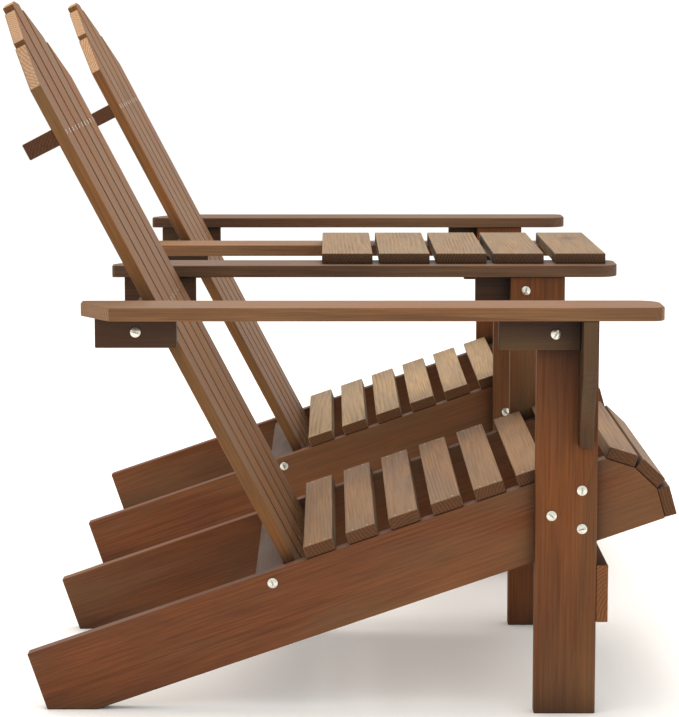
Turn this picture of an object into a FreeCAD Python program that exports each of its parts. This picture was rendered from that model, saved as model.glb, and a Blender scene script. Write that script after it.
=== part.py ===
"""Twin adirondack chair: two reclined seats joined by a tea table and a front stretcher.

Millimetres, +Z up. The chairs face -Y, X runs along the row of seats, and the origin is
under the middle of the whole piece, on the ground.

Side-view points are (forward, up) pairs: forward grows towards the front of the chair,
from a line on which the top edges of the stringers are seat_line_height above the ground.
"""

import FreeCAD, Part
import os
from math import cos, pi, radians, sin, tan

V = FreeCAD.Vector

# Whole piece
overall_width = 1500.0
arm_top = 527.5

# Boards
board = 22.0            # stringers, legs, blocks and battens
edge_round = 1.5

# One seat
seat_slope = 18.95      # degrees, rising to the front
seat_line_height = 206.2
stringer_depth = 97.5
stringer_rear = -388.5  # rear top corner
seat_slat_width = 39.5
seat_slat_gap = 17.8
seat_slat_thickness = 16.0
seat_slat_count = 7
seat_slat_start = -32.0     # rear edge of the first slat, along the slope
seat_slat_inset = 2.0       # from the stringers' outer faces
nose_angles = (17.5, 43.3, 74.3)    # degrees below level, one facet for each front slat
nose_slat_clearance = 1.0

# Legs and arms
leg_width = 78.0
leg_rear_edge = 259.0
arm_thickness = 17.0
arm_width = 84.5
arm_overhang = 57.0     # beyond the leg's outer face
arm_rear = -312.5
arm_front = 413.0
arm_front_radius = 16.0         # outer front corner
arm_front_inner_radius = 28.0
arm_rear_radius = 5.0           # inner rear corner
arm_rear_cut_length = 40.0
arm_rear_cut_width = 60.0
block_length = 102.0    # cleats and rear brackets
block_height = 40.0
corbel_setback = 7.0    # from the leg's front edge
corbel_thickness = 18.0
corbel_reach = 55.0
corbel_foot = 19.0
# The corbel's three heights suit this much clear height, from stringer to armrest at the leg's front
# edge, and scale with it
corbel_clear_height = 188.6
corbel_upper = 63.5
corbel_slant = 75.0
corbel_lower = 26.0

# Back
recline = 27.65         # degrees from upright
back_foot = -60.6       # where the slats' rear faces cross the seat line
back_slat_width = 71.0
back_slat_gap = 12.8
back_side_gap = 9.4     # from the outer slats to the stringers
back_slat_thickness = 15.0
back_tail = 28.0        # length below the seat line
back_rise = 801.5       # length above it, to the peak
# How far each slat's top corners are below the peak, inner edge first: middle, next and outer slats
arch_drops = ((0.0, 4.0), (12.0, 55.0), (61.0, 119.0))
batten_depth = 42.0
upper_batten_at = 616.0
lower_batten_drop = 14.5    # bolt line below the stringers' top edges
batten_clearance = 0.5      # end to end, between the stringers
batten_headroom = 0.5       # under the armrests

# Table and stretcher
table_slat_width = 73.0
table_slat_gap = 9.3
table_slat_front_gap = 16.0
table_slat_thickness = 15.0
table_lap = 57.0        # how far each table slat reaches over each armrest
table_slat_count = 5
table_start = -12.0
stretcher_height = 74.0
stretcher_thickness = 15.0
stretcher_up = 119.0

# Fasteners
bolt = 6.0
bolt_head = 13.0
bolt_head_rise = 3.2
bolt_head_edge = 1.0
slot_width = 2.0
slot_depth = 1.6
slot_turn = 50.0            # degrees from each bolt's slot to the next one's
sleeve = 8.0
sleeve_length = 15.0
hole_clearance = 0.4
end_grain_grip = 42.0
# Forward of the leg's front edge, and above the middle of the stringer
leg_bolts = ((-19.5, 25.3), (-57.7, 6.0), (-19.0, -24.1))
cleat_bolt_from_leg = 21.7      # forward of the leg's rear edge
screw = 3.5
screw_head = 6.5
screw_head_depth = 2.0
screw_grip = 16.0           # into the wood behind
screw_recess = 4.2
screw_recess_width = 1.1
screw_recess_depth = 1.0
screw_spread = 44.0         # between a pair in one back slat
stretcher_screw_spread = 40.0
brad = 2.2
brad_length = 34.0
brad_spread = 20.0          # between the two in each end of a seat slat
brad_clearance = 0.1

slope = radians(seat_slope)
lean = radians(recline)
arm_under = arm_top - arm_thickness
back_width = 5 * back_slat_width + 4 * back_slat_gap
unit_width = back_width + 2 * (board + back_side_gap)   # over the outer faces of a seat's stringers
half_unit = unit_width / 2
seat_centre = overall_width / 2 - arm_overhang - board - half_unit
arm_gap = 2 * (seat_centre - half_unit - board - arm_overhang)  # between the two inner armrests
table_slat_length = arm_gap + 2 * table_lap
leg_front_edge = leg_rear_edge + leg_width
block_under = arm_under - block_height


def seat_point(along, above):
    """A point measured along the stringers' top edge and square to it."""
    return (along * cos(slope) - above * sin(slope),
            seat_line_height + along * sin(slope) + above * cos(slope))


def back_point(along, ahead):
    """A point measured up the back from the seat line and ahead of the slats' rear faces."""
    foot_up = seat_line_height + back_foot * tan(slope)
    return (back_foot - along * sin(lean) + ahead * cos(lean),
            foot_up + along * cos(lean) + ahead * sin(lean))


def rounded(shape, radius=edge_round):
    return shape.makeFillet(radius, shape.Edges)


def side_board(points, x_a, x_b):
    """A board whose outline is seen from the side, between two planes across X."""
    low, high = min(x_a, x_b), max(x_a, x_b)
    corners = [V(low, -forward, up) for forward, up in points]
    return rounded(Part.Face(Part.makePolygon(corners + corners[:1])).extrude(V(high - low, 0, 0)))


def side_box(forward_a, forward_b, up_a, up_b, x_a, x_b):
    outline = [(forward_a, up_a), (forward_b, up_a), (forward_b, up_b), (forward_a, up_b)]
    return side_board(outline, x_a, x_b)


def turned(shape, start, direction):
    """Stands a piece that was made up the Z axis at a point, along a direction."""
    placed = shape.copy()
    placed.Placement = FreeCAD.Placement(start, FreeCAD.Rotation(V(0, 0, 1), direction)) * shape.Placement
    return placed


def rod(start, direction, length, diameter):
    return turned(Part.makeCylinder(diameter / 2, length), start, direction)


def round_head():
    """A domed, slotted head that stands up from the XY plane."""
    rise = bolt_head_rise - bolt_head_edge
    radius = ((bolt_head / 2) ** 2 + rise ** 2) / (2 * rise)
    ball = Part.makeSphere(radius, V(0, 0, bolt_head_rise - radius))
    head = Part.makeCylinder(bolt_head / 2, bolt_head_rise).common(ball)
    slot = Part.makeBox(bolt_head, slot_width, bolt_head_rise,
                        V(-bolt_head / 2, -slot_width / 2, bolt_head_rise - slot_depth))
    return head.cut(slot)


def make_bolt(grip):
    shape = round_head().fuse(Part.makeCylinder(bolt / 2, grip, V(0, 0, -grip))).removeSplitter()
    shape.rotate(V(0, 0, 0), V(0, 0, 1), slot_turn * len(hardware["bolts"]))
    return shape


def make_sleeve_nut():
    tube = Part.makeCylinder(sleeve / 2, sleeve_length, V(0, 0, -sleeve_length))
    bore = Part.makeCylinder((bolt + hole_clearance) / 2, sleeve_length, V(0, 0, -sleeve_length))
    shape = round_head().fuse(tube.cut(bore)).removeSplitter()
    shape.rotate(V(0, 0, 0), V(0, 0, 1), slot_turn * len(hardware["sleeve_nuts"]))
    return shape


def make_screw(through):
    """A countersunk screw with a cross recess, its head flush with the XY plane."""
    head = Part.makeCone(screw / 2, screw_head / 2, screw_head_depth, V(0, 0, -screw_head_depth))
    shank = Part.makeCylinder(screw / 2, through + screw_grip - screw_head_depth,
                              V(0, 0, -through - screw_grip))
    body = head.fuse(shank).removeSplitter()
    for long, wide in ((screw_recess, screw_recess_width), (screw_recess_width, screw_recess)):
        body = body.cut(Part.makeBox(long, wide, screw_recess_depth,
                                     V(-long / 2, -wide / 2, -screw_recess_depth)))
    return body


def screw_hole(through):
    head = Part.makeCone(screw / 2 + hole_clearance, screw_head / 2 + hole_clearance, screw_head_depth,
                         V(0, 0, -screw_head_depth))
    length = through + screw_grip + hole_clearance - screw_head_depth
    shank = Part.makeCylinder((screw + hole_clearance) / 2, length, V(0, 0, -screw_head_depth - length))
    return head.fuse(shank)


parts = {}
hardware = {"bolts": [], "sleeve_nuts": [], "screws_and_brads": []}


def drill(cutter, *names):
    for name in names:
        parts[name] = parts[name].cut(cutter)


def add_screw(start, outward, through, *names):
    hardware["screws_and_brads"].append(turned(make_screw(through), start, outward))
    drill(turned(screw_hole(through), start, outward), *names)


def add_brad(start, outward, *names):
    hardware["screws_and_brads"].append(rod(start, outward * -1, brad_length, brad))
    drill(rod(start, outward * -1, brad_length + brad_clearance, brad + brad_clearance), *names)


def add_through_bolt(start, outward, thickness, *names):
    """A bolt from the outside and a sleeve nut from the inside, through a stack of boards."""
    inward = outward * -1
    far = start + inward * thickness
    hardware["bolts"].append(turned(make_bolt(thickness - 2 * hole_clearance), start, outward))
    hardware["sleeve_nuts"].append(turned(make_sleeve_nut(), far, inward))
    plain = rod(start, inward, thickness, bolt + hole_clearance)
    wide = rod(far, outward, sleeve_length + hole_clearance, sleeve + hole_clearance)
    drill(plain.fuse(wide), *names)


def add_end_bolt(start, outward, through, *names):
    """A bolt through one board into the end of a batten."""
    hardware["bolts"].append(turned(make_bolt(through + end_grain_grip), start, outward))
    reach = through + end_grain_grip + hole_clearance
    drill(rod(start, outward * -1, reach, bolt + hole_clearance), *names)


# The rounded front of the stringers: three facets that end on their lower edge
nose_turns = [radians(angle) for angle in nose_angles]
nose_facet = stringer_depth / sum(sin(turn + slope) for turn in nose_turns)
seat_pitch = seat_slat_width + seat_slat_gap
nose_points = [seat_point(seat_slat_start + seat_slat_count * seat_pitch, 0)]
for turn in nose_turns:
    forward, up = nose_points[-1]
    nose_points.append((forward + nose_facet * cos(turn), up - nose_facet * sin(turn)))

stringer_rear_up = seat_line_height + stringer_rear * tan(slope)
heel_rear = (stringer_rear + stringer_rear_up * tan(slope), 0.0)
heel_front = ((stringer_depth / cos(slope) - seat_line_height) / tan(slope), 0.0)
stringer_outline = [(stringer_rear, stringer_rear_up)] + nose_points + [heel_front, heel_rear]

# The lower batten's middle is lower_batten_drop under the seat line, and the middle batten's top corner
# lies just under the armrests
lower_batten_at = (batten_depth / 2 * sin(lean - slope) - lower_batten_drop) / cos(lean - slope)
middle_up = arm_under - batten_headroom - (board * cos(lean) + batten_depth * sin(lean)) / 2
middle_batten_at = (middle_up - back_point(0, -batten_depth / 2)[1]) / cos(lean)


def make_stringer(inner, outer):
    return side_board(stringer_outline, inner, outer)


def make_leg(inner, outer):
    return side_box(leg_rear_edge, leg_front_edge, 0, arm_under, inner, outer)


def make_arm(inner, outer):
    """An armrest with rounded front corners and a wide cut at its rear outer corner."""
    side = 1 if outer > inner else -1
    diagonal = 1 - cos(pi / 4)

    def at(x, forward):
        return V(x, -forward, arm_under)

    def corner(x, forward, x_step, forward_step, radius):
        """The three points of a quarter-round corner, from its x side to its forward side."""
        return (at(x, forward + forward_step * radius),
                at(x + x_step * radius * diagonal, forward + forward_step * radius * diagonal),
                at(x + x_step * radius, forward))

    front_outer = corner(outer, arm_front, -side, -1, arm_front_radius)
    front_inner = corner(inner, arm_front, side, -1, arm_front_inner_radius)
    rear_inner = corner(inner, arm_rear, side, 1, arm_rear_radius)
    cut_rear = at(outer - side * arm_rear_cut_width, arm_rear)
    cut_outer = at(outer, arm_rear + arm_rear_cut_length)
    edges = [
        Part.LineSegment(cut_outer, front_outer[0]),
        Part.Arc(*front_outer),
        Part.LineSegment(front_outer[2], front_inner[2]),
        Part.Arc(*front_inner[::-1]),
        Part.LineSegment(front_inner[0], rear_inner[0]),
        Part.Arc(*rear_inner),
        Part.LineSegment(rear_inner[2], cut_rear),
        Part.LineSegment(cut_rear, cut_outer),
    ]
    outline = Part.Wire([edge.toShape() for edge in edges])
    return rounded(Part.Face(outline).extrude(V(0, 0, arm_thickness)))


def make_corbel(leg_face, side):
    """A bracket under the armrest: straight, then slanting in, then a straight foot."""
    rear = leg_front_edge - corbel_setback - corbel_thickness
    scale = (arm_under - seat_line_height - leg_front_edge * tan(slope)) / corbel_clear_height
    slant_top = arm_under - scale * corbel_upper
    foot_top = slant_top - scale * corbel_slant
    foot_bottom = foot_top - scale * corbel_lower
    outline = [(0, arm_under), (corbel_reach, arm_under), (corbel_reach, slant_top),
               (corbel_foot, foot_top), (corbel_foot, foot_bottom), (0, foot_bottom)]
    corners = [V(leg_face + side * x, -rear, up) for x, up in outline]
    return rounded(Part.Face(Part.makePolygon(corners + corners[:1])).extrude(V(0, -corbel_thickness, 0)))


def make_back_slat(centre, offset, left_top, right_top):
    """A slat of the back, cut to its own slope at the top; the middle one is cut both ways."""
    left, right = offset - back_slat_width / 2, offset + back_slat_width / 2
    outline = [(left, -back_tail), (right, -back_tail), (right, right_top)]
    if offset == 0:
        outline.append((0, back_rise))
    outline.append((left, left_top))

    def corner(x, along, ahead):
        forward, up = back_point(along, ahead)
        return V(centre + x, -forward, up)

    corners = [corner(x, along, 0) for x, along in outline]
    thickness = corner(0, 0, back_slat_thickness) - corner(0, 0, 0)
    return rounded(Part.Face(Part.makePolygon(corners + corners[:1])).extrude(thickness))


def make_batten(along, x_a, x_b):
    corners = [(along - board / 2, -batten_depth), (along + board / 2, -batten_depth),
               (along + board / 2, 0), (along - board / 2, 0)]
    return side_board([back_point(*corner) for corner in corners], x_a, x_b)


def make_seat_slat(number, x_a, x_b):
    start = seat_slat_start + number * seat_pitch
    end = start + seat_slat_width
    corners = [(start, 0), (end, 0), (end, seat_slat_thickness), (start, seat_slat_thickness)]
    return side_board([seat_point(*corner) for corner in corners], x_a, x_b)


def nose_point(number, along, above):
    """A point measured down one facet of the nose and square to it."""
    turn = nose_turns[number]
    forward, up = nose_points[number]
    return (forward + along * cos(turn) + above * sin(turn), up - along * sin(turn) + above * cos(turn))


def make_nose_slat(number, x_a, x_b):
    start = nose_slat_clearance / 2
    end = nose_facet - start
    corners = [(start, 0), (end, 0), (end, seat_slat_thickness), (start, seat_slat_thickness)]
    return side_board([nose_point(number, *corner) for corner in corners], x_a, x_b)


def point(x, forward_up):
    return V(x, -forward_up[0], forward_up[1])


def build_side_frame(seat, flank, centre, side):
    """Stringer, leg, arm and their blocks on one side of a seat; side is +1 towards +X."""
    tag = seat + "_" + flank
    face = centre + side * half_unit
    leg_face = face + side * board
    arm_outer = leg_face + side * arm_overhang
    cleat_front = leg_front_edge - corbel_setback - corbel_thickness
    cleat_rear = cleat_front - block_length
    bracket_middle = back_point(middle_batten_at, -batten_depth / 2)[0]
    parts[tag + "_stringer"] = make_stringer(face - side * board, face)
    parts[tag + "_front_leg"] = make_leg(face, leg_face)
    parts[tag + "_armrest"] = make_arm(arm_outer - side * arm_width, arm_outer)
    parts[tag + "_arm_cleat"] = side_box(cleat_rear, cleat_front, block_under, arm_under,
                                         leg_face, leg_face + side * board)
    parts[tag + "_corbel"] = make_corbel(leg_face, side)
    parts[tag + "_rear_bracket"] = side_box(
        bracket_middle - block_length / 2, bracket_middle + block_length / 2,
        block_under, arm_under, face, leg_face)


def bolt_side_frame(seat, flank, centre, side):
    tag = seat + "_" + flank
    outward = V(side, 0, 0)
    face = centre + side * half_unit
    leg_face = face + side * board
    for from_front, above in leg_bolts:
        forward = leg_front_edge + from_front
        line_up = seat_line_height + forward * tan(slope) - stringer_depth / 2 / cos(slope)
        add_through_bolt(point(leg_face, (forward, line_up + above)), outward, 2 * board,
                         tag + "_front_leg", tag + "_stringer")
    cleat_bolt = (leg_rear_edge + cleat_bolt_from_leg, arm_under - block_height / 2)
    add_through_bolt(point(leg_face + side * board, cleat_bolt), outward, 2 * board,
                     tag + "_arm_cleat", tag + "_front_leg")
    lower = back_point(lower_batten_at, -batten_depth / 2)
    add_end_bolt(point(face, lower), outward, board, tag + "_stringer", seat + "_lower_batten")
    upper = back_point(middle_batten_at, -batten_depth / 2)
    add_end_bolt(point(leg_face, upper), outward, board, tag + "_rear_bracket", seat + "_middle_batten")


def build_back(seat, centre):
    half_back = back_width / 2
    between = half_unit - board - batten_clearance / 2
    battens = {"upper": (upper_batten_at, half_back), "middle": (middle_batten_at, half_unit),
               "lower": (lower_batten_at, between)}
    for name, (along, half) in battens.items():
        parts[seat + "_" + name + "_batten"] = make_batten(along, centre - half, centre + half)
    outward = back_point(0, 1)
    foot = back_point(0, 0)
    ahead = V(0, foot[0] - outward[0], outward[1] - foot[1])
    for number in range(5):
        place = number - 2
        inner, outer = arch_drops[abs(place)]
        left, right = (outer, inner) if place < 0 else (inner, outer)
        if place == 0:
            left = outer
        name = "%s_back_slat_%d" % (seat, number + 1)
        offset = place * (back_slat_width + back_slat_gap)
        parts[name] = make_back_slat(centre, offset, back_rise - left, back_rise - right)
        for batten, (along, half) in battens.items():
            for step in (-0.5, 0.5):
                start = point(centre + offset + step * screw_spread, back_point(along, back_slat_thickness))
                add_screw(start, ahead, back_slat_thickness, name, seat + "_" + batten + "_batten")


def build_seat(seat, centre):
    half = half_unit - seat_slat_inset
    for number in range(seat_slat_count):
        name = "%s_seat_slat_%d" % (seat, number + 1)
        parts[name] = make_seat_slat(number, centre - half, centre + half)
        middle = seat_slat_start + number * seat_pitch + seat_slat_width / 2
        for step in (-0.5, 0.5):
            top = seat_point(middle + step * brad_spread, seat_slat_thickness)
            nail_seat_slat(seat, name, centre, top, V(0, sin(slope), cos(slope)))
    for number, turn in enumerate(nose_turns):
        name = "%s_nose_slat_%d" % (seat, number + 1)
        parts[name] = make_nose_slat(number, centre - half, centre + half)
        top = nose_point(number, nose_facet / 2, seat_slat_thickness)
        nail_seat_slat(seat, name, centre, top, V(0, -sin(turn), cos(turn)))


def nail_seat_slat(seat, name, centre, top, outward):
    """A brad down into the middle of each stringer."""
    for flank, side in seat_sides(centre):
        x = centre + side * (half_unit - board / 2)
        add_brad(point(x, top), outward, name, seat + "_" + flank + "_stringer")


def seat_sides(centre):
    away = 1 if centre > 0 else -1
    return (("outer", away), ("inner", -away))


def build_table():
    half = table_slat_length / 2
    forward = table_start
    for number in range(table_slat_count):
        if number == table_slat_count - 1:
            forward += table_slat_front_gap - table_slat_gap
        parts["table_slat_%d" % (number + 1)] = side_box(
            forward, forward + table_slat_width, arm_top, arm_top + table_slat_thickness, -half, half)
        forward += table_slat_width + table_slat_gap


def build_stretcher():
    """A rail across the front faces of all four legs."""
    half = seat_centre + half_unit + board
    front = leg_front_edge + stretcher_thickness
    parts["front_stretcher"] = side_box(leg_front_edge, front, stretcher_up,
                                        stretcher_up + stretcher_height, -half, half)
    for seat, centre in seats:
        for flank, side in seat_sides(centre):
            x = centre + side * (half_unit + board / 2)
            for step in (-0.5, 0.5):
                up = stretcher_up + stretcher_height / 2 + step * stretcher_screw_spread
                add_screw(point(x, (front, up)), V(0, -1, 0), stretcher_thickness,
                          "front_stretcher", "%s_%s_front_leg" % (seat, flank))


seats = (("left", -seat_centre), ("right", seat_centre))
for seat, centre in seats:
    for flank, side in seat_sides(centre):
        build_side_frame(seat, flank, centre, side)
    build_back(seat, centre)
    build_seat(seat, centre)
    for flank, side in seat_sides(centre):
        bolt_side_frame(seat, flank, centre, side)
build_table()
build_stretcher()

# Identical blocks, corbels and fasteners are kept as groups of separate solids
groups = {"left_arm_blocks": [], "right_arm_blocks": [], "corbels": []}
for seat, centre in seats:
    for flank, side in seat_sides(centre):
        tag = seat + "_" + flank
        groups[seat + "_arm_blocks"] += [parts.pop(tag + "_arm_cleat"), parts.pop(tag + "_rear_bracket")]
        groups["corbels"].append(parts.pop(tag + "_corbel"))
groups.update(hardware)
for name, pieces in groups.items():
    parts[name] = Part.makeCompound(pieces)

# The origin lies midway between the top of the back and the lowest nose slat
rear_edge = parts["left_back_slat_3"].optimalBoundingBox(False, False).YMax
front_edge = parts["left_nose_slat_3"].optimalBoundingBox(False, False).YMin
to_origin = V(0, -(rear_edge + front_edge) / 2, 0)
os.makedirs("parts", exist_ok=True)
for name, shape in parts.items():
    shape.translate(to_origin)
    shape.exportStep("parts/%s.step" % name)
print(len(parts), "nodes, depth", round(rear_edge - front_edge, 1))
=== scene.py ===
import random
from math import pi, radians

import bpy
from mathutils import Euler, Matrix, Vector


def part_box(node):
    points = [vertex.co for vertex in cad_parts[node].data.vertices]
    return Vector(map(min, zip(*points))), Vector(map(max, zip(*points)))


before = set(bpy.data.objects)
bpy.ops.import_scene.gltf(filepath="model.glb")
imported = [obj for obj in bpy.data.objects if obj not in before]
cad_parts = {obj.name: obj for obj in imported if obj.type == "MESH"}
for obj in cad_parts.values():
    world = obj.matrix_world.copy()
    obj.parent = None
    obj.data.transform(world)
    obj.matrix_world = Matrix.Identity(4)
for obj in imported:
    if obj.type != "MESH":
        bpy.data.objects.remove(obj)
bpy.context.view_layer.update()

# The twin adirondack chair in stained fir with zinc-plated bolts, on a white studio floor.
# Metres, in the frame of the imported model: the chairs face -Y and X runs along the row of seats.

dice = random.Random(41)

SEAT_SLOPE = radians(18.95)     # of the stringers, rising to the front
RECLINE = radians(27.65)        # of the back, from upright

# Where a Mix node keeps its colours
MIX_A, MIX_B, MIX_COLOUR = 6, 7, 2


def linear(sheet):
    """A colour from its sRGB hex value."""
    steps = [int(sheet[place:place + 2], 16) / 255 for place in (1, 3, 5)]
    return [step / 12.92 if step <= 0.04045 else ((step + 0.055) / 1.055) ** 2.4 for step in steps] + [1.0]


def add(tree, kind, sockets=None, **settings):
    """Adds a node, with its settings, and gives each of its sockets a number, a colour or a link."""
    node = tree.nodes.new("ShaderNode" + kind)
    for key, value in settings.items():
        setattr(node, key, value)
    for key, value in (sockets or {}).items():
        if isinstance(value, bpy.types.NodeSocket):
            tree.links.new(value, node.inputs[key])
        else:
            node.inputs[key].default_value = value
    return node


def begin_material(name):
    material = bpy.data.materials.new(name)
    material.use_nodes = True
    material.node_tree.nodes.clear()
    return material, material.node_tree


# Stained fir, by where it is used: (wood between the rings, the rings, sawn ends, worn edges)
STAINS = {
    "stringer": ("#683919", "#5d3315", "#39210e", "#734322"),
    "leg": ("#643714", "#5a3212", "#351f0d", "#70401d"),
    "arm": ("#6f4a2c", "#603e26", "#6f5136", "#94745a"),
    # a darker copy of the arm's stain, as painted shade
    "arm in painted shade": ("#593e2a", "#4f3524", "#4a3120", "#715642"),
    "block": ("#432610", "#39200d", "#2c1808", "#503115"),
    # the back slats' pale sawn-end tone is partly the wood's end grain and partly painted highlight, for
    # light falling on their cut tops
    "back slat": ("#6f461f", "#5b391b", "#87694c", "#855f3a"),
    "batten": ("#5c3418", "#502f17", "#42240e", "#684224"),
    "seat slat": ("#75583d", "#5c402a", "#4c2d14", "#a58768"),
    "far seat slat": ("#8b7354", "#6c543b", "#513218", "#b39a79"),
    "table slat": ("#755d41", "#553f28", "#4c331f", "#8c7055"),
    "stretcher": ("#5a3519", "#4e2e15", "#643c1c", "#6b4425"),
}
OLIVE_CAST = "#7a6c4c"      # where the stain has weathered
RING_WIDTH = 0.0042         # from one growth ring to the next
FIBRE_WIDTH = 0.0022        # real ones are about 0.5 mm, drawn coarser so that they show
BLOTCH_WIDTH = 0.055        # the stain takes unevenly over about this width
KNOT_SPACING = 0.21
KNOT_TONE = "#3a2013"
STREAK_WIDTH = 0.03         # from a stretch of strong rings to a faint one
WEATHERING_WIDTH = 0.09
# How much longer each pattern is along the board than across it
RING_STRETCH = 7
FIBRE_STRETCH = 45
BLOTCH_STRETCH = 4
KNOT_SHARE_ALONG = 0.55     # knots are nearly twice as long as they are wide
KNOT_PUSH = 11.0            # how far a knot turns the rings aside, in radians of their wave
GRAIN_TILT = 1.3            # degrees that a board may be sawn off the grain
PITH_ALONG = 9              # metres, so that no two boards share a stretch of the tree
PITH_BESIDE = (0.03, 0.09)
PITH_ABOVE_OR_BELOW = (0.02, 0.07)
GRAIN_RELIEF = 0.0004
PAINTED_SHADE_REACH = 0.09                 # how far the painted shade reaches out of a corner
ARRIS = 0.0018              # how far the sanding reached in from each edge


def stained_fir(name, stain, middle, turn):
    """Planed fir in a brown stain: dark rings and fibres along each board, blotches where the wood
    drank more, sawn ends of their own tone, and pale edges where sanding cut through the stain."""
    early, late, sawn, worn = (linear(tone) for tone in STAINS[stain])
    material, tree = begin_material(name)
    place = add(tree, "TexCoord").outputs["Object"]
    facing = add(tree, "NewGeometry").outputs["Normal"]

    # Turned so that the first axis runs along the board, with the tree's pith a hand's width away
    astray = 0 if stain == "block" else radians(dice.uniform(-GRAIN_TILT, GRAIN_TILT))
    tilt = Euler((turn[0], turn[1], turn[2] + astray))
    pith = Vector((dice.uniform(-PITH_ALONG, PITH_ALONG), dice.uniform(*PITH_BESIDE),
                   dice.choice((-1, 1)) * dice.uniform(*PITH_ABOVE_OR_BELOW)))
    shift = pith - tilt.to_matrix() @ middle
    along = add(tree, "Mapping", {"Vector": place, "Rotation": tilt, "Location": shift}).outputs["Vector"]
    ends = add(tree, "Mapping", {"Vector": facing, "Rotation": tilt}, vector_type="NORMAL").outputs["Vector"]

    # Knots push the rings aside
    knots = add(tree, "Mapping", {"Vector": along, "Scale": (KNOT_SHARE_ALONG, 1, 1)}).outputs["Vector"]
    to_knot = add(tree, "TexVoronoi", {"Vector": knots, "Scale": 1 / KNOT_SPACING}).outputs["Distance"]
    knot = add(tree, "MapRange", {"Value": to_knot, "From Min": 0.02, "From Max": 0.12, "To Min": 1,
                                  "To Max": 0}, interpolation_type="SMOOTHSTEP").outputs["Result"]
    push = add(tree, "Math", {0: knot, 1: KNOT_PUSH}, operation="MULTIPLY").outputs[0]
    flow = add(tree, "Mapping", {"Vector": along, "Scale": (1 / RING_STRETCH, 1, 1)}).outputs["Vector"]
    rings = add(tree, "TexWave", {"Vector": flow, "Scale": 2 * pi / (20 * RING_WIDTH), "Distortion": 9.0,
                                  "Detail": 2.5, "Detail Scale": 0.16, "Detail Roughness": 0.55,
                                  "Phase Offset": push},
                wave_type="RINGS", rings_direction="X", wave_profile="SAW").outputs["Fac"]
    ring = add(tree, "MapRange", {"Value": rings, "From Min": 0.35, "From Max": 0.97},
               interpolation_type="SMOOTHSTEP").outputs["Result"]

    long_fibres = add(tree, "Mapping", {"Vector": along,
                                        "Scale": (1 / FIBRE_STRETCH, 1, 1)}).outputs["Vector"]
    fibres = add(tree, "TexNoise", {"Vector": long_fibres, "Scale": 1 / FIBRE_WIDTH, "Detail": 3.0,
                                    "Roughness": 0.65}).outputs["Fac"]
    long_blotches = add(tree, "Mapping", {"Vector": along,
                                          "Scale": (1 / BLOTCH_STRETCH, 1, 1)}).outputs["Vector"]
    blotches = add(tree, "TexNoise", {"Vector": long_blotches, "Scale": 1 / BLOTCH_WIDTH, "Detail": 3.0,
                                      "Roughness": 0.6}).outputs["Fac"]

    # Colour: rings, then fibres, blotches, knots, sawn ends and worn edges
    strong = add(tree, "TexNoise", {"Vector": flow, "Scale": 1 / STREAK_WIDTH, "Detail": 2.0}).outputs["Fac"]
    strength = add(tree, "MapRange", {"Value": strong, "From Min": 0.35, "From Max": 0.7}).outputs["Result"]
    ring_share = add(tree, "Math", {0: ring, 1: strength}, operation="MULTIPLY").outputs[0]
    wood = add(tree, "Mix", {0: ring_share, MIX_A: early, MIX_B: late}, data_type="RGBA").outputs[MIX_COLOUR]
    fibre_light = add(tree, "MapRange", {"Value": fibres, "From Min": 0.3, "From Max": 0.7, "To Min": 0.72,
                                         "To Max": 1.26}).outputs["Result"]
    blotch_light = add(tree, "MapRange", {"Value": blotches, "From Min": 0.3, "From Max": 0.7, "To Min": 0.8,
                                          "To Max": 1.17}).outputs["Result"]
    light = add(tree, "Math", {0: fibre_light, 1: blotch_light}, operation="MULTIPLY").outputs[0]
    wood = add(tree, "VectorMath", {0: wood, "Scale": light}, operation="SCALE").outputs[0]
    weathered = add(tree, "TexNoise", {"Vector": long_blotches, "Scale": 1 / WEATHERING_WIDTH,
                                       "Detail": 2.0, "W": 4.0}, noise_dimensions="4D").outputs["Fac"]
    cast = add(tree, "MapRange", {"Value": weathered, "From Min": 0.45, "From Max": 0.75,
                                  "To Max": 0.3}).outputs["Result"]
    wood = add(tree, "Mix", {0: cast, MIX_A: wood, MIX_B: linear(OLIVE_CAST)},
               data_type="RGBA").outputs[MIX_COLOUR]
    knot_share = add(tree, "Math", {0: knot, 1: 0.6}, operation="MULTIPLY").outputs[0]
    wood = add(tree, "Mix", {0: knot_share, MIX_A: wood, MIX_B: linear(KNOT_TONE)},
               data_type="RGBA").outputs[MIX_COLOUR]
    end_ways = add(tree, "SeparateXYZ", {0: ends}).outputs[0]
    end_turn = add(tree, "Math", {0: end_ways}, operation="ABSOLUTE").outputs[0]
    end = add(tree, "MapRange", {"Value": end_turn, "From Min": 0.64, "From Max": 0.78}).outputs["Result"]
    sawn_wood = add(tree, "Mix", {0: ring, MIX_A: [1.4 * part for part in sawn[:3]] + [1.0],
                                     MIX_B: [0.8 * part for part in sawn[:3]] + [1.0]},
                    data_type="RGBA").outputs[MIX_COLOUR]
    sawn_wood = add(tree, "VectorMath", {0: sawn_wood, "Scale": fibre_light}, operation="SCALE").outputs[0]
    wood = add(tree, "Mix", {0: end, MIX_A: wood, MIX_B: sawn_wood}, data_type="RGBA").outputs[MIX_COLOUR]
    round_edge = add(tree, "Bevel", {"Radius": ARRIS}, samples=4).outputs["Normal"]
    bend = add(tree, "VectorMath", {0: round_edge, 1: facing}, operation="DOT_PRODUCT").outputs["Value"]
    edge = add(tree, "MapRange", {"Value": bend, "From Min": 0.97, "From Max": 0.8,
                                  "To Max": 0.55}).outputs["Result"]
    edge = add(tree, "Math", {0: edge, 1: blotch_light}, operation="MULTIPLY", use_clamp=True).outputs[0]
    wood = add(tree, "Mix", {0: edge, MIX_A: wood, MIX_B: worn}, data_type="RGBA").outputs[MIX_COLOUR]
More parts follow.
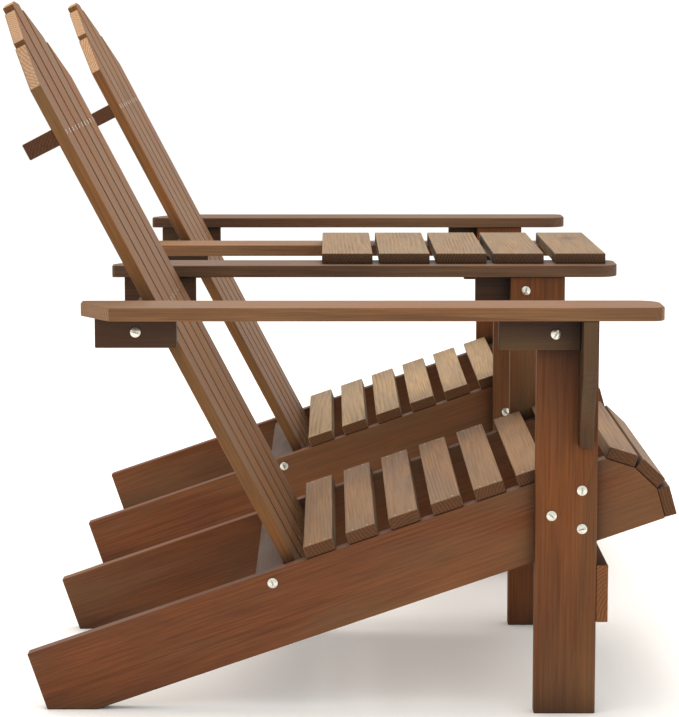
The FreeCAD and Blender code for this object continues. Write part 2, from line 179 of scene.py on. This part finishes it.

    # Painted shade: the colour is darkened where two boards meet and in the gaps between them, by ambient
    # occlusion
    open_air = add(tree, "AmbientOcclusion", {"Distance": PAINTED_SHADE_REACH}, samples=4).outputs["AO"]
    painted_shade = add(tree, "MapRange", {"Value": open_air, "From Min": 0.22, "From Max": 0.88, "To Min": 0.19},
                interpolation_type="SMOOTHSTEP").outputs["Result"]
    wood = add(tree, "VectorMath", {0: wood, "Scale": painted_shade}, operation="SCALE").outputs[0]

    # Planing leaves the rings a hair proud and the fibres open
    proud = add(tree, "Math", {0: ring, 1: 0.5}, operation="MULTIPLY").outputs[0]
    relief = add(tree, "Math", {0: fibres, 1: proud}, operation="ADD").outputs[0]
    bump = add(tree, "Bump", {"Height": relief, "Strength": 0.6, "Distance": GRAIN_RELIEF}).outputs["Normal"]
    roughness = add(tree, "MapRange", {"Value": blotches, "From Min": 0.3, "From Max": 0.7, "To Min": 0.52,
                                       "To Max": 0.7}).outputs["Result"]
    shader = add(tree, "BsdfPrincipled", {"Base Color": wood, "Roughness": roughness, "IOR": 1.45,
                                          "Specular IOR Level": 0.3, "Normal": bump}).outputs[0]
    add(tree, "OutputMaterial", {"Surface": shader})
    return material


ZINC_CLOUD_WIDTH = 0.004
ZINC_RELIEF = 0.0001
SLOT_SHADE_REACH = 0.004          # how far the painted shade reaches out of a bolt's slot and round its head


def zinc_plated_steel():
    """Bright zinc plating on turned steel: a pale, slightly warm gleam with faint cloudy patches, and
    painted shade in the slots and round the heads.
    """
    material, tree = begin_material("zinc-plated steel")
    place = add(tree, "TexCoord").outputs["Object"]
    clouds = add(tree, "TexNoise", {"Vector": place, "Scale": 1 / ZINC_CLOUD_WIDTH,
                                    "Detail": 3.0}).outputs["Fac"]
    colour = add(tree, "Mix", {0: clouds, MIX_A: linear("#bcbbb2"), MIX_B: linear("#eceadd")},
                 data_type="RGBA").outputs[MIX_COLOUR]
    roughness = add(tree, "MapRange", {"Value": clouds, "To Min": 0.2, "To Max": 0.42}).outputs["Result"]
    bump = add(tree, "Bump", {"Height": clouds, "Strength": 0.2, "Distance": ZINC_RELIEF}).outputs["Normal"]
    # Painted shade: the colour is darkened in the slots and where the heads meet the wood, by ambient
    # occlusion
    open_air = add(tree, "AmbientOcclusion", {"Distance": SLOT_SHADE_REACH}, samples=4).outputs["AO"]
    painted_slot_shade = add(tree, "MapRange", {"Value": open_air, "From Min": 0.3, "From Max": 0.9,
                                       "To Min": 0.12}).outputs["Result"]
    colour = add(tree, "VectorMath", {0: colour, "Scale": painted_slot_shade}, operation="SCALE").outputs[0]
    shader = add(tree, "BsdfPrincipled", {"Base Color": colour, "Metallic": 1.0, "Roughness": roughness,
                                          "Normal": bump}).outputs[0]
    add(tree, "OutputMaterial", {"Surface": shader})
    return material


PAPER_MOTTLE_WIDTH = 0.3


def studio_paper():
    """Matt white backdrop paper: an even, pale ground with soft shadows."""
    material, tree = begin_material("matt white paper")
    place = add(tree, "TexCoord").outputs["Object"]
    mottle = add(tree, "TexNoise", {"Vector": place, "Scale": 1 / PAPER_MOTTLE_WIDTH}).outputs["Fac"]
    colour = add(tree, "Mix", {0: mottle, MIX_A: linear("#f9f9f8"), MIX_B: linear("#fcfcfb")},
                 data_type="RGBA").outputs[MIX_COLOUR]
    shader = add(tree, "BsdfPrincipled", {"Base Color": colour, "Roughness": 0.9}).outputs[0]
    add(tree, "OutputMaterial", {"Surface": shader})
    return material


# How each kind of board runs: the turn that brings its length to the first axis
QUARTER = pi / 2
ACROSS = (0, 0, 0)
FORE_AND_AFT = (0, 0, -QUARTER)
UPRIGHT = (-QUARTER, 0, -QUARTER)
UP_THE_SEAT = (SEAT_SLOPE, 0, -QUARTER)
UP_THE_BACK = (RECLINE - QUARTER, 0, -QUARTER)
BOARDS = (
    ("stringer", "stringer", UP_THE_SEAT),
    ("front_leg", "leg", UPRIGHT),
    ("armrest", "arm", FORE_AND_AFT),
    ("arm_blocks", "block", FORE_AND_AFT),
    ("corbels", "block", UPRIGHT),
    ("back_slat", "back slat", UP_THE_BACK),
    ("batten", "batten", ACROSS),
    ("seat_slat", "seat slat", ACROSS),
    ("nose_slat", "seat slat", ACROSS),
    ("table_slat", "table slat", ACROSS),
    ("front_stretcher", "stretcher", ACROSS),
)

# Boards given a darker copy of their stain, as painted shade
PAINTED_SHADE_BOARDS = {"left_inner_armrest": "arm in painted shade", "right_outer_armrest": "arm in painted shade"}


def finish_boards():
    """Each board is cut from its own place in the tree."""
    for name in sorted(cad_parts):
        for word, stain, turn in BOARDS:
            if word in name:
                low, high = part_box(name)
                if stain == "seat slat" and name.startswith("right"):
                    stain = "far seat slat"
                wood = stained_fir("stained fir " + name, PAINTED_SHADE_BOARDS.get(name, stain), (low + high) / 2, turn)
                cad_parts[name].material_slots[0].material = wood


def finish_hardware():
    zinc = zinc_plated_steel()
    for name in ("bolts", "sleeve_nuts", "screws_and_brads"):
        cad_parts[name].material_slots[0].material = zinc


HALF_FLOOR = 70.0


def lay_floor():
    """A broad sheet of paper, wide enough to fill the view from any side."""
    corners = [(x * HALF_FLOOR, y * HALF_FLOOR, 0) for x, y in ((-1, -1), (1, -1), (1, 1), (-1, 1))]
    mesh = bpy.data.meshes.new("floor")
    mesh.from_pydata(corners, [], [(0, 1, 2, 3)])
    mesh.materials.append(studio_paper())
    floor = bpy.data.objects.new("floor", mesh)
    bpy.context.scene.collection.objects.link(floor)


SKY_TONE = "#fffefb"
SKY_STRENGTH = 1.1
SOFTBOX_PLACE = (0.4, 0.3, 3.6)
SOFTBOX_AIM = (0, 0, 0.3)
SOFTBOX_SIZE = (3.4, 3.4)
SOFTBOX_WATTS = 150.0
SOFTBOX_HUE = "#fff3e6"


def hang_light(name, place, aim, size, watts, hue):
    lamp = bpy.data.lights.new(name, "AREA")
    lamp.shape = "RECTANGLE"
    lamp.size, lamp.size_y = size
    lamp.energy = watts
    lamp.color = linear(hue)[:3]
    holder = bpy.data.objects.new(name, lamp)
    holder.location = place
    holder.rotation_euler = (Vector(aim) - Vector(place)).to_track_quat("-Z", "Y").to_euler()
    bpy.context.scene.collection.objects.link(holder)


def light_studio():
    world = bpy.data.worlds.new("white room")
    world.use_nodes = True
    world.node_tree.nodes["Background"].inputs["Color"].default_value = linear(SKY_TONE)
    world.node_tree.nodes["Background"].inputs["Strength"].default_value = SKY_STRENGTH
    bpy.context.scene.world = world
    hang_light("overhead softbox", SOFTBOX_PLACE, SOFTBOX_AIM, SOFTBOX_SIZE, SOFTBOX_WATTS, SOFTBOX_HUE)


CAMERA_PLACE = (-3.98935, 0.0056, 0.8916)
CAMERA_TILT_DOWN = radians(7.506)
CAMERA_SWING = radians(0.218)
CAMERA_LENS = 133.2


def place_camera():
    """Facing the side of the set, 4 m from its middle and level with the tops of the backs."""
    camera = bpy.data.cameras.new("camera")
    camera.lens = CAMERA_LENS
    camera.clip_end = 100.0
    holder = bpy.data.objects.new("camera", camera)
    holder.location = CAMERA_PLACE
    holder.rotation_euler = (pi / 2 - CAMERA_TILT_DOWN, 0, -pi / 2 - CAMERA_SWING)
    bpy.context.scene.collection.objects.link(holder)
    bpy.context.scene.camera = holder


finish_boards()
finish_hardware()
lay_floor()
light_studio()
place_camera()
bpy.context.scene.view_settings.view_transform = "Standard"
